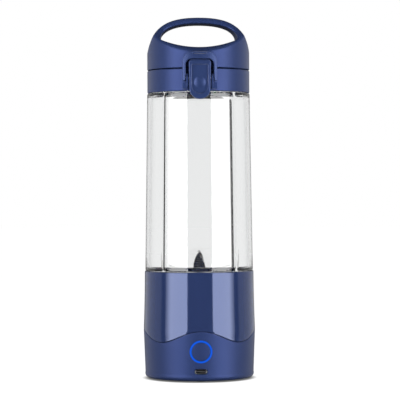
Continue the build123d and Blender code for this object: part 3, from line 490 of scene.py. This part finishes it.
class CupSettings(bpy.types.PropertyGroup):
    ribs: IntProperty(name="Ribs", description="Upright ribs inside the cup", default=4, min=0, max=8)
    rib_width: FloatProperty(name="Rib Width", description="Width of a rib in millimetres",
                             default=3.0, min=1.0, max=6.0)
    rib_reach: FloatProperty(name="Rib Reach",
                             description="How far a rib stands into the cup, in millimetres", default=2.3,
                             min=0.5, max=4.0)
    shoulder_reach: FloatProperty(name="Shoulder Reach",
                                  description="Height in millimetres of each inner shoulder", default=5.0,
                                  min=3.0, max=30.0)


class BladeSettings(bpy.types.PropertyGroup):
    grind: FloatProperty(name="Grind Width", description="Width of the ground edge in millimetres",
                         default=2.6, min=0.5, max=4.0)
    lower_bend: FloatProperty(name="Lower Bend", description="Rise of the lower wings", subtype="ANGLE",
                              unit="ROTATION", default=radians(14))
    upper_bend: FloatProperty(name="Upper Bend", description="Rise of the upper wings", subtype="ANGLE",
                              unit="ROTATION", default=radians(52))


class StudioSettings(bpy.types.PropertyGroup):
    distance: FloatProperty(name="Camera Distance", description="From the lens to the axis of the cup",
                            subtype="DISTANCE", unit="LENGTH", default=1.5, min=0.3, max=5)
    eye: FloatProperty(name="Eye Level", description="Height of the lens above the table",
                       subtype="DISTANCE", unit="LENGTH", default=0.1449, min=0, max=2)
    azimuth: FloatProperty(name="Azimuth", description="Swing of the camera round the cup", subtype="ANGLE",
                           unit="ROTATION", default=radians(-1.6))
    softbox: FloatProperty(name="Softboxes", description="Power of each tall softbox in watts",
                           default=12.5, min=0, max=500)
    back_softbox: FloatProperty(name="Back Softbox", description="Power of the softbox behind in watts",
                                default=1.3, min=0, max=500)


# ---------------------------------------------------------------- finishes
def build_finishes(settings):
    """Every finish by the name of its slot."""
    for build in (grain_group, wear_group, brushed_group, dust_group):
        build()
    gloss, satin = tuple(settings.gloss_navy), tuple(settings.satin_navy)
    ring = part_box("light_ring")
    centre = Vector((0, 0, (ring[0].z + ring[1].z) / 2))
    return {"navy_gloss": moulded("navy_gloss", gloss, (0.05, 0.09), grain=220.0, bump=0.012, wear=0.15,
                                  dust=0.0, IOR=1.5, Specular_Tint=(0.49, 0.565, 0.88, 1.0)),
            "navy_satin": moulded("navy_satin", satin, (0.34, 0.41), grain=5200.0, bump=0.10, wear=0.3,
                                  dust=0.02, IOR=1.5, Specular_Tint=(0.16, 0.22, 0.60, 1.0)),
            "navy_polished": moulded("navy_polished", satin, (0.29, 0.35), grain=5200.0, bump=0.04,
                                     wear=0.3, dust=0.02, edge=0.7, IOR=1.5,
                                     Specular_Tint=(0.26, 0.34, 0.75, 1.0)),
            "navy_rubber": moulded("navy_rubber", satin, (0.40, 0.48), grain=4200.0, bump=0.12, wear=0.1,
                                   dust=0.04, IOR=1.5, Specular_Tint=(0.16, 0.22, 0.60, 1.0)),
            "clear_plastic": clear_plastic("clear_plastic", settings.cup_tint),
            "silicone": moulded("silicone", (0.72, 0.74, 0.75), (0.42, 0.55), grain=2500.0, bump=0.06,
                                wear=0.0, Subsurface_Weight=0.4, Subsurface_Scale=0.002,
                                Transmission_Weight=0.15),
            "black_plastic": moulded("black_plastic", (0.018, 0.018, 0.02), (0.42, 0.55), grain=3000.0,
                                     bump=0.12),
            "foot_rubber": moulded("foot_rubber", (0.02, 0.02, 0.021), (0.65, 0.8), grain=2200.0,
                                   bump=0.25, Sheen_Weight=0.1),
            "stainless": metal("stainless", (0.70, 0.70, 0.69), (0.14, 0.30), (250.0, 5200.0, 5200.0),
                               bump=0.04),
            "steel_pin": metal("steel_pin", (0.62, 0.62, 0.61), (0.2, 0.35), (9000.0, 400.0, 400.0),
                               bump=0.05),
            "zinc_screw": metal("zinc_screw", (0.55, 0.56, 0.53), (0.28, 0.45), (1500.0, 1500.0, 1500.0),
                                bump=0.08),
            "motor_steel": metal("motor_steel", (0.48, 0.48, 0.47), (0.25, 0.4), (300.0, 300.0, 7000.0),
                                 bump=0.05),
            "magnet": moulded("magnet", (0.05, 0.05, 0.055), (0.5, 0.65), grain=6000.0, bump=0.3,
                              wear=0.5),
            "laminations": metal("laminations", (0.42, 0.33, 0.26), (0.35, 0.5), (60.0, 60.0, 12000.0),
                                 bump=0.3),
            "bronze": metal("bronze", (0.60, 0.40, 0.19), (0.3, 0.45), (4000.0, 4000.0, 4000.0),
                            bump=0.15),
            "cell_wrap": moulded("cell_wrap", (0.02, 0.22, 0.42), (0.18, 0.3), grain=150.0, bump=0.08,
                                 wear=0.1, Coat_Weight=0.3),
            "nickel_strip": metal("nickel_strip", (0.72, 0.70, 0.65), (0.15, 0.3),
                                  (9000.0, 300.0, 300.0)),
            "board_green": moulded("board_green", (0.01, 0.12, 0.05), (0.2, 0.32), grain=900.0, bump=0.1,
                                   wear=0.1),
            "chip_black": moulded("chip_black", (0.012, 0.012, 0.013), (0.4, 0.55), grain=7000.0,
                                  bump=0.2, wear=0.1),
            "white_light": moulded("white_light", (0.8, 0.84, 0.88), (0.25, 0.35), grain=3000.0,
                                   bump=0.03, wear=0.0),
            "blue_light": ring_glow("blue_light", settings.glow, (0.002, 0.030, 0.26), centre,
                                    RING_MIDDLE * MM, RING_HALF * MM),
            "port_metal": metal("port_metal", (0.16, 0.16, 0.17), (0.28, 0.4), (500.0, 9000.0, 500.0))}


HANDLED = {"latch_button": "navy_polished", "lock_bail": "navy_polished"}


def finish_of(slot):
    return bpy.data.materials[slot]


class BLENDERJUG_OT_finishes(bpy.types.Operator):
    """Build every finish and give each carried-over part its own"""
    bl_idname = "blenderjug.finishes"
    bl_label = "Finishes"

    def execute(self, context):
        for material in list(bpy.data.materials):
            material.name = "packed_" + material.name
        build_finishes(context.scene.jug_finish)
        slots = {part["node"]: part["material_slot"] for part in frame["record"]["subparts"]}
        for node, obj in frame["nodes"].items():
            for held in obj.material_slots:
                held.material = finish_of(HANDLED.get(node, slots[node]))
        return {"FINISHED"}


# ---------------------------------------------------------------- base
class BLENDERJUG_OT_casing(bpy.types.Operator):
    """Glossy casing with its rim, its wavy lower edge and the threads for the cup"""
    bl_idname = "blenderjug.casing"
    bl_label = "Casing"

    def execute(self, context):
        sizes = context.scene.jug_base
        low, top = SEAM_MEAN + SEAM_GAP / 2, RIM_TOP / MM
        rows = 26
        outer = [low + (top - low) * k / rows for k in range(rows + 1)]
        outline = [(base_radius(z), z) for z in outer]
        outline += [(39.9, top), (39.9, 75.0), (39.9, 67.6), (34.0, 67.6), (34.0, 65.2), (38.4, 65.2)]
        outline += [(base_radius(z) - 3.8, z) for z in (50.0, 40.0, 30.0, 22.0, 14.0)]
        outline += [(base_radius(z) - 2.2, z) for z in (14.0, 18.0, 22.0, 26.0, 30.0)]
        outline += [(base_radius(low) - 2.2, low), (base_radius(low) - 1.0, low)]
        bm = bmesh.new()
        lathe(bm, outline, sizes.steps)
        follow_seam(bm, 14.5, 62.0)
        soften(bm, sizes.rim_round, keep=lambda e: e.verts[0].co.z > (top - 0.01) * MM)
        soften(bm, sizes.seam_round, keep=lambda e: min(v.co.xy.length for v in e.verts) > 42.0 * MM)
        for k in range(THREAD_STARTS):
            thread_ridge(bm, 38.7, 40.4, 78.6, 1.8, THREAD_FIRST - THREAD_SPAN / 2 + tau * k / THREAD_STARTS)
        bmesh.ops.recalc_face_normals(bm, faces=bm.faces)
        make_piece("casing", bm, "base", finish_of("navy_gloss"), ["base_shell"])
        return {"FINISHED"}


class BLENDERJUG_OT_boot(bpy.types.Operator):
    """Soft boot with its wavy upper edge, and openings for the button and the charging port"""
    bl_idname = "blenderjug.boot"
    bl_label = "Boot"

    def execute(self, context):
        sizes = context.scene.jug_base
        high = SEAM_MEAN - SEAM_GAP / 2
        turns = [radians(-104.2 + 124.1 * k / 12) for k in range(13)]
        heel = [(HEEL_CENTRE[0] + HEEL_ROUND * cos(a), HEEL_CENTRE[1] + HEEL_ROUND * sin(a)) for a in turns]
        outer = [SHIN[1] + (high - SHIN[1]) * k / 28 for k in range(1, 29)]
        outline = [(36.2, SOLE[1])] + heel + [(base_radius(z), z) for z in outer]
        outline += [(base_radius(z) - 2.0, z) for z in (high, 28.0, 22.0, 16.0, 10.0, 5.0)]
        outline += [(38.2, 2.8), (36.2, 2.8)]
        bm = bmesh.new()
        lathe(bm, outline, sizes.steps)
        follow_seam(bm, 16.0, 60.0)
        soften(bm, sizes.seam_round, keep=lambda e: min(v.co.xy.length for v in e.verts) > 42.0 * MM)
        boot = make_piece("boot", bm, "base", finish_of("navy_rubber"), ["base_boot"])
        hole = bmesh.new()
        prism(hole, ellipse_points((0, BUTTON_HEIGHT / MM), 8.75, 8.75, 96), -46, -34)
        cut_away(boot, hole)
        port = bmesh.new()
        prism(port, slot_points((0, PORT_HEIGHT / MM), 10.0, 4.2, 48), -46, -34)
        cut_away(boot, port)
        boot.data.set_sharp_from_angle(angle=radians(32))
        return {"FINISHED"}


def surface_disc(bm, radius_in, radius_out, lift, depth, centre_height, rounding, segments=96, rings=6):
    """A disc or ring that lies in the curved front of the base: spun flat, then laid on the curve."""
    radii = [radius_in + (radius_out - radius_in) * k / rings for k in range(rings + 1)]
    front = [(r, 0.0) for r in radii]
    solid = radius_in == 0
    back = [(radius_out, depth), (0.0, depth)] if solid else [(r, depth) for r in reversed(radii)]
    ring = [bm.verts.new((r * MM, h * MM, 0)) for r, h in front + back]
    after = ring[1:] if solid else ring[1:] + ring[:1]
    edges = [bm.edges.new(pair) for pair in zip(ring, after)]
    bmesh.ops.spin(bm, geom=ring + edges, cent=(0, 0, 0), axis=(0, 1, 0), angle=tau, steps=segments,
                   use_merge=True, use_duplicate=False)
    bmesh.ops.remove_doubles(bm, verts=bm.verts, dist=1e-6)
    bmesh.ops.recalc_face_normals(bm, faces=bm.faces)
    soften(bm, rounding, angle=50)
    for vert in bm.verts:
        height = centre_height + vert.co.z / MM
        outside = base_radius(height) + lift
        x = vert.co.x / MM
        vert.co.y = vert.co.y - (outside**2 - x * x) ** 0.5 * MM
        vert.co.z = height * MM
    bmesh.ops.recalc_face_normals(bm, faces=bm.faces)


class BLENDERJUG_OT_power_button(bpy.types.Operator):
    """Power button cap and the lit ring round it"""
    bl_idname = "blenderjug.power_button"
    bl_label = "Power Button"

    def execute(self, context):
        ring = bmesh.new()
        surface_disc(ring, 7.0, 8.7, 0.0, 5.0, BUTTON_HEIGHT / MM, 0.2)
        make_piece("lit_ring", ring, "base", finish_of("blue_light"), ["light_ring"])
        cap = bmesh.new()
        surface_disc(cap, 0, 6.9, -0.15, 2.0, BUTTON_HEIGHT / MM, 0.35)
        make_piece("button_cap", cap, "power_button_body", finish_of("navy_rubber"),
                   ["power_button"])
        return {"FINISHED"}


# ---------------------------------------------------------------- cup
def inner_wall(height):
    """Inside radius of the cup's tapering wall, in millimetres."""
    return 39.1 - 2.0 * (height - CUP_SHOULDER) / (CUP_NECK - CUP_SHOULDER)


class BLENDERJUG_OT_cup(bpy.types.Operator):
    """Clear cup with its upright ribs and both screw threads"""
    bl_idname = "blenderjug.cup"
    bl_label = "Cup"

    def execute(self, context):
        sizes = context.scene.jug_cup
        foot, top = CUP_FOOT / MM, CUP_TOP / MM
        low_neck, high_neck = (38.3, 36.5), (36.4, 34.6)
        shoulder, neck = CUP_SHOULDER, CUP_NECK
        outside = [(low_neck[1], foot + 0.5), (low_neck[1] + 0.5, foot)]
        outside += [(low_neck[0] - 0.5, foot), (low_neck[0], foot + 0.5)]
        outside += [(low_neck[0], foot + 0.5 + 0.5 * k) for k in range(1, 23)]
        outside += [(low_neck[0], shoulder), (40.6, shoulder), (41.2, shoulder + 0.25),
                    (41.5, shoulder + 0.9)]
        wall = (0.1, 0.25, 0.4, 0.55, 0.7, 0.85, 0.96)
        outside += [(41.5 - 2.0 * t, shoulder + (neck - shoulder) * t) for t in wall]
        outside += [(39.5, neck - 0.9), (39.2, neck - 0.25), (38.6, neck), (high_neck[0], neck)]
        outside += [(high_neck[0], neck + 0.55 * k) for k in range(1, 25)]
        outside += [(high_neck[0], top - 0.4), (high_neck[0] - 0.4, top)]
        outside += [(high_neck[1] + 0.4, top), (high_neck[1], top - 0.4)]
        reach = sizes.shoulder_reach
        top_rows = [neck + 1.0 - reach * k / 12 for k in range(13)]
        foot_rows = [shoulder - 1.0 + reach * (12 - k) / 12 for k in range(13)]
        gap = top_rows[-1] - foot_rows[0]
        heights = top_rows + [top_rows[-1] - gap * k / 20 for k in range(1, 20)] + foot_rows
        inside = []
        for z in heights:
            up = 1 - smooth_step(neck + 1.0 - reach, neck + 1.0, z)
            down = smooth_step(shoulder - 1.0, shoulder - 1.0 + reach, z)
            inside.append((high_neck[1] + (inner_wall(z) - high_neck[1]) * up - (
                inner_wall(z) - low_neck[1]) * (1 - down), z))
        bm = bmesh.new()
        lathe(bm, outside + inside, CUP_STEPS)
        half = sizes.rib_width / 2
        for vert in bm.verts:
            radius, height = vert.co.xy.length / MM, vert.co.z / MM
            angle = atan2(vert.co.y, vert.co.x)
            push = 0.0
            if shoulder - 1 < height < neck + 1 and radius < inner_wall(height) + 0.1:
                spacing = tau / sizes.ribs
                off = abs(angle % spacing - spacing / 2) * radius
                rise = 1 - smooth_step(half - 0.5, half + 0.1, off)
                push = min(inner_wall(height) - sizes.rib_reach - radius, 0.0) * rise
            for (at, stand), span in ((FOOT_THREAD, low_neck[0]), (NECK_THREAD, high_neck[0])):
                if abs(radius - span) < 0.05 and abs(height - at) < 6:
                    pitch = tau / THREAD_STARTS
                    turn = (angle - THREAD_FIRST + pitch / 2) % pitch - pitch / 2
                    off = abs(height - at - THREAD_LEAD * turn / tau)
                    across = 1 - smooth_step(0.55, 0.95, off)
                    along = 1 - smooth_step(THREAD_SPAN / 2 - 0.05, THREAD_SPAN / 2, abs(turn))
                    push = stand * across * along
            if push:
                vert.co.xy *= (radius + push) / radius
        bmesh.ops.recalc_face_normals(bm, faces=bm.faces)
        make_piece("clear_cup", bm, "cup_body", finish_of("clear_plastic"), ["cup"],
                   sharp=60)
        return {"FINISHED"}


# ---------------------------------------------------------------- blades
def bend(verts, start, end, angle):
    """Bends whatever lies beyond start on the +X side upwards, along an arc that ends at end."""
    arc = (end - start) / angle
    for vert in verts:
        x, z = vert.co.x / MM, vert.co.z / MM
        if x <= start:
            continue
        turn = angle * min((x - start) / (end - start), 1.0)
        spare = max(x - end, 0.0)
        vert.co.x = (start + (arc - z) * sin(turn) + spare * cos(turn)) * MM
        vert.co.z = (arc - (arc - z) * cos(turn) + spare * sin(turn)) * MM


def blade(bm, seat, angle, length, width, tip, grind, turn, thickness=1.2):
    """A ring hub with two ground wings, bent up, on a seat height and turned round the shaft."""
    before = set(bm.verts)
    for way in (0, pi):
        fresh = set(bm.verts)
        stations = [4.0, 6.5, 7.2, 7.9, 8.6, 9.4, 10.4, 12.5, 15.0, 17.5, 20.0, length - 1.5, length]
        loops = []
        for x in stations:
            t = max((x - 9.4) / (length - 9.4), 0.0)
            lead = width / 2 - (width * 0.75) * t**1.8
            trail = -width / 2 + (width / 2 - tip * 0.3) * t**2.4 - 0.2 * t
            lead = max(lead, trail + tip)
            edge = min(grind, (lead - trail) * 0.6)
            section = [(trail, 0.15), (trail + 0.25, 0.0), (lead - 0.05, 0.0), (lead, 0.12),
                       (lead - edge, thickness), (trail + 0.25, thickness), (trail, thickness - 0.15)]
            ring = [bm.verts.new((x * MM, y * MM, z * MM)) for y, z in section]
            loops.append([bm.edges.new(pair) for pair in zip(ring, ring[1:] + ring[:1])])
            if x in (stations[0], stations[-1]):
                bm.faces.new(ring)
        for first, second in zip(loops, loops[1:]):
            bmesh.ops.bridge_loops(bm, edges=first + second)
        wing = [v for v in bm.verts if v not in fresh]
        bend(wing, 6.5, 9.4, angle)
        bmesh.ops.rotate(bm, verts=wing, cent=(0, 0, 0), matrix=Matrix.Rotation(way, 3, "Z"))
    hub = set(bm.verts)
    lathe(bm, [(2.52, 0), (7.0, 0), (7.0, thickness), (2.52, thickness)], 64)
    hub_edges = [e for e in bm.edges if e.verts[0] not in hub and e.is_manifold and e.calc_face_angle() > 0.7]
    bmesh.ops.bevel(bm, geom=hub_edges, offset=0.15 * MM, offset_type="OFFSET", affect="EDGES", segments=2,
                    profile=0.5, material=-1)
    made = [v for v in bm.verts if v not in before]
    bmesh.ops.rotate(bm, verts=made, cent=(0, 0, 0), matrix=Matrix.Rotation(turn, 3, "Z"))
    bmesh.ops.translate(bm, verts=made, vec=(0, 0, seat))
    bmesh.ops.recalc_face_normals(bm, faces=bm.faces)


class BLENDERJUG_OT_blades(bpy.types.Operator):
    """Two ground and bent blades"""
    bl_idname = "blenderjug.blades"
    bl_label = "Blades"

    def execute(self, context):
        sizes = context.scene.jug_blades
        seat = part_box("blade_lower")[0].z
        lower = bmesh.new()
        blade(lower, seat, sizes.lower_bend, 24.0, 10.0, 2.0, sizes.grind, 0.0)
        make_piece("lower_blade", lower, "blades", finish_of("stainless"), ["blade_lower"],
                   sharp=20)
        upper = bmesh.new()
        blade(upper, seat + 1.2 * MM, sizes.upper_bend, 23.0, 9.0, 2.0, sizes.grind, pi / 2)
        make_piece("upper_blade", upper, "blades", finish_of("stainless"), ["blade_upper"],
                   sharp=20)
        return {"FINISHED"}


# ---------------------------------------------------------------- studio
def tall_softbox(name, side, power, span, distance=0.55, low=-0.25, high=0.5, skin=0.0425):
    """An upright area light that a glossy round casing shows as one tall band, over a span of degrees."""
    ends = []
    for angle in (radians(span[0]), radians(span[1])):
        x = skin * sin(angle) + distance * sin(2 * angle)
        y = -skin * cos(angle) - distance * cos(2 * angle)
        ends.append(Vector((side * x, y, (low + high) / 2)))
    light = bpy.data.lights.new(name, "AREA")
    light.shape = "RECTANGLE"
    light.size, light.size_y = (ends[1] - ends[0]).length, high - low
    light.energy = power
    light.use_nodes = True
    tree = light.node_tree
    across = add(tree, "ShaderNodeSeparateXYZ", None,
                 Vector=add(tree, "ShaderNodeNewGeometry").outputs["Parametric"])
    fade = (1.0, 0.7) if side > 0 else (0.0, 0.3)
    fading = smooth_ramp(tree, Value=across.outputs["X"], From_Min=fade[0], From_Max=fade[1], To_Min=0.25,
                         To_Max=1.0)
    link(tree, fading.outputs["Result"], tree.nodes["Emission"].inputs["Strength"])
    holder = bpy.data.objects.new(name, light)
    holder.location = (ends[0] + ends[1]) / 2
    across_way = (ends[1] - ends[0]).normalized() * side
    toward = across_way.cross(Vector((0, 0, 1)))
    holder.rotation_euler = Matrix((across_way, Vector((0, 0, 1)), toward)).transposed().to_euler()
    holder.visible_camera = False
    holder.visible_transmission = False
    bpy.context.scene.collection.objects.link(holder)


class BLENDERJUG_OT_studio(bpy.types.Operator):
    """Pale floor with a painted shadow round the foot of the base, white surroundings, two tall softboxes and
    the camera
    """
    bl_idname = "blenderjug.studio"
    bl_label = "Studio"

    def execute(self, context):
        sizes = context.scene.jug_studio
        scene = context.scene
        scene.view_settings.view_transform = "Standard"
        # floor: white where seen, with a painted contact shadow round the foot of the base that stays put at
        # every pose
        bm = bmesh.new()
        bmesh.ops.create_circle(bm, cap_ends=True, segments=96, radius=6.0)
        mesh = bpy.data.meshes.new("floor")
        bm.to_mesh(mesh)
        bm.free()
        floor = bpy.data.objects.new("floor", mesh)
        scene.collection.objects.link(floor)
        white, tree, principled = shader("floor_white", {"Roughness": 0.95, "Emission Color": (1, 1, 1, 1)})
        path = add(tree, "ShaderNodeLightPath")
        # painted shade: the floor seen through the cup is dimmed
        seen = calc(tree, "MULTIPLY_ADD", i0=path.outputs["Is Transmission Ray"], i1=PAINTED_SHADE_THROUGH_CUP,
                    i2=path.outputs["Is Camera Ray"])
        # painted shadow: the floor's glow is dimmed in a ring round the foot of the base
        squeezed = vector_calc(tree, "MULTIPLY", i1=(1.04, 1.0, 0.0),
                               i0=add(tree, "ShaderNodeTexCoord").outputs["Object"])
        out_from = vector_calc(tree, "LENGTH", i0=squeezed.outputs[0])
        glow = smooth_ramp(tree, Value=out_from.outputs["Value"], From_Min=PAINTED_FOOT_SHADOW_INNER,
                           From_Max=PAINTED_FOOT_SHADOW_OUTER, To_Min=PAINTED_FOOT_SHADOW_DEPTH, To_Max=1.0)
        own = calc(tree, "MULTIPLY", i0=seen.outputs[0], i1=glow.outputs["Result"])
        link(tree, own.outputs[0], principled.inputs["Emission Strength"])
        lit = calc(tree, "MULTIPLY", i0=path.outputs["Is Diffuse Ray"], i1=FLOOR_BOUNCE)
        link(tree, lit.outputs[0], principled.inputs["Base Color"])
        floor.visible_glossy = False
        mesh.materials.append(white)
        # surroundings: white to look at, greyed by a painted shade where seen through the cup, dark in
        # reflections, so the softboxes draw the shape
        world = bpy.data.worlds.new("surroundings")
        scene.world = world
        world.use_nodes = True
        tree = world.node_tree
        path = add(tree, "ShaderNodeLightPath")
        # painted shade: the surroundings seen through the cup are dimmed
        seen = calc(tree, "MULTIPLY_ADD", i0=path.outputs["Is Transmission Ray"], i1=PAINTED_SHADE_THROUGH_CUP,
                    i2=path.outputs["Is Camera Ray"])
        fill = ramp(tree, Value=path.outputs["Is Glossy Ray"], To_Min=SKY_FILL, To_Max=SKY_REFLECTED)
        shown = calc(tree, "MAXIMUM", i0=seen.outputs[0], i1=fill.outputs["Result"])
        link(tree, shown.outputs[0], tree.nodes["Background"].inputs["Strength"])
        tree.nodes["Background"].inputs["Color"].default_value = (1, 1, 1, 1)
        for name, side in (("left", -1), ("right", 1)):
            tall_softbox("softbox_" + name, side, sizes.softbox, FRONT_SPAN)
            tall_softbox("back_softbox_" + name, side, sizes.back_softbox, BACK_SPAN)
        # camera
        data = bpy.data.cameras.new("camera")
        data.lens, data.sensor_width = CAMERA_LENS, CAMERA_SENSOR
        camera = bpy.data.objects.new("camera", data)
        scene.collection.objects.link(camera)
        camera.location = (sin(sizes.azimuth) * sizes.distance, -cos(sizes.azimuth) * sizes.distance,
                           sizes.eye)
        aim = Vector(AIM) - camera.location
        facing = aim.to_track_quat("-Z", "Y").to_matrix()
        camera.rotation_euler = (facing @ Matrix.Rotation(CAMERA_ROLL, 3, "Z")).to_euler()
        data.clip_start, data.clip_end = 0.05, 50
        scene.camera = camera
        return {"FINISHED"}


# ---------------------------------------------------------------- sidebar and registration
PIECES = ("finishes", "casing", "boot", "power_button", "cup", "blades", "studio")
SETTINGS = (("jug_finish", FinishSettings), ("jug_base", BaseSettings), ("jug_cup", CupSettings),
            ("jug_blades", BladeSettings), ("jug_studio", StudioSettings))


class BLENDERJUG_PT_panel(bpy.types.Panel):
    """Lists the pieces and the settings of the portable blender"""
    bl_idname = "BLENDERJUG_PT_panel"
    bl_label = "Portable Blender"
    bl_space_type = "VIEW_3D"
    bl_region_type = "UI"
    bl_category = "Blender Jug"

    def draw(self, context):
        for piece in PIECES:
            self.layout.operator(f"blenderjug.{piece}")
        for group, _ in SETTINGS:
            box = self.layout.box()
            settings = getattr(context.scene, group)
            for name in settings.__annotations__:
                box.prop(settings, name)


CLASSES = (FinishSettings, BaseSettings, CupSettings, BladeSettings, StudioSettings, BLENDERJUG_OT_finishes,
           BLENDERJUG_OT_casing, BLENDERJUG_OT_boot, BLENDERJUG_OT_power_button, BLENDERJUG_OT_cup,
           BLENDERJUG_OT_blades, BLENDERJUG_OT_studio, BLENDERJUG_PT_panel)


def register():
    for cls in CLASSES:
        bpy.utils.register_class(cls)
    for name, group in SETTINGS:
        setattr(bpy.types.Scene, name, PointerProperty(type=group))


def unregister():
    for name, _ in SETTINGS:
        delattr(bpy.types.Scene, name)
    for cls in reversed(CLASSES):
        bpy.utils.unregister_class(cls)


def main():
    """Registers the add-on and builds every piece in order."""
    register()
    for piece in PIECES:
        getattr(bpy.ops.blenderjug, piece)()


if __name__ == "__main__":
    main()
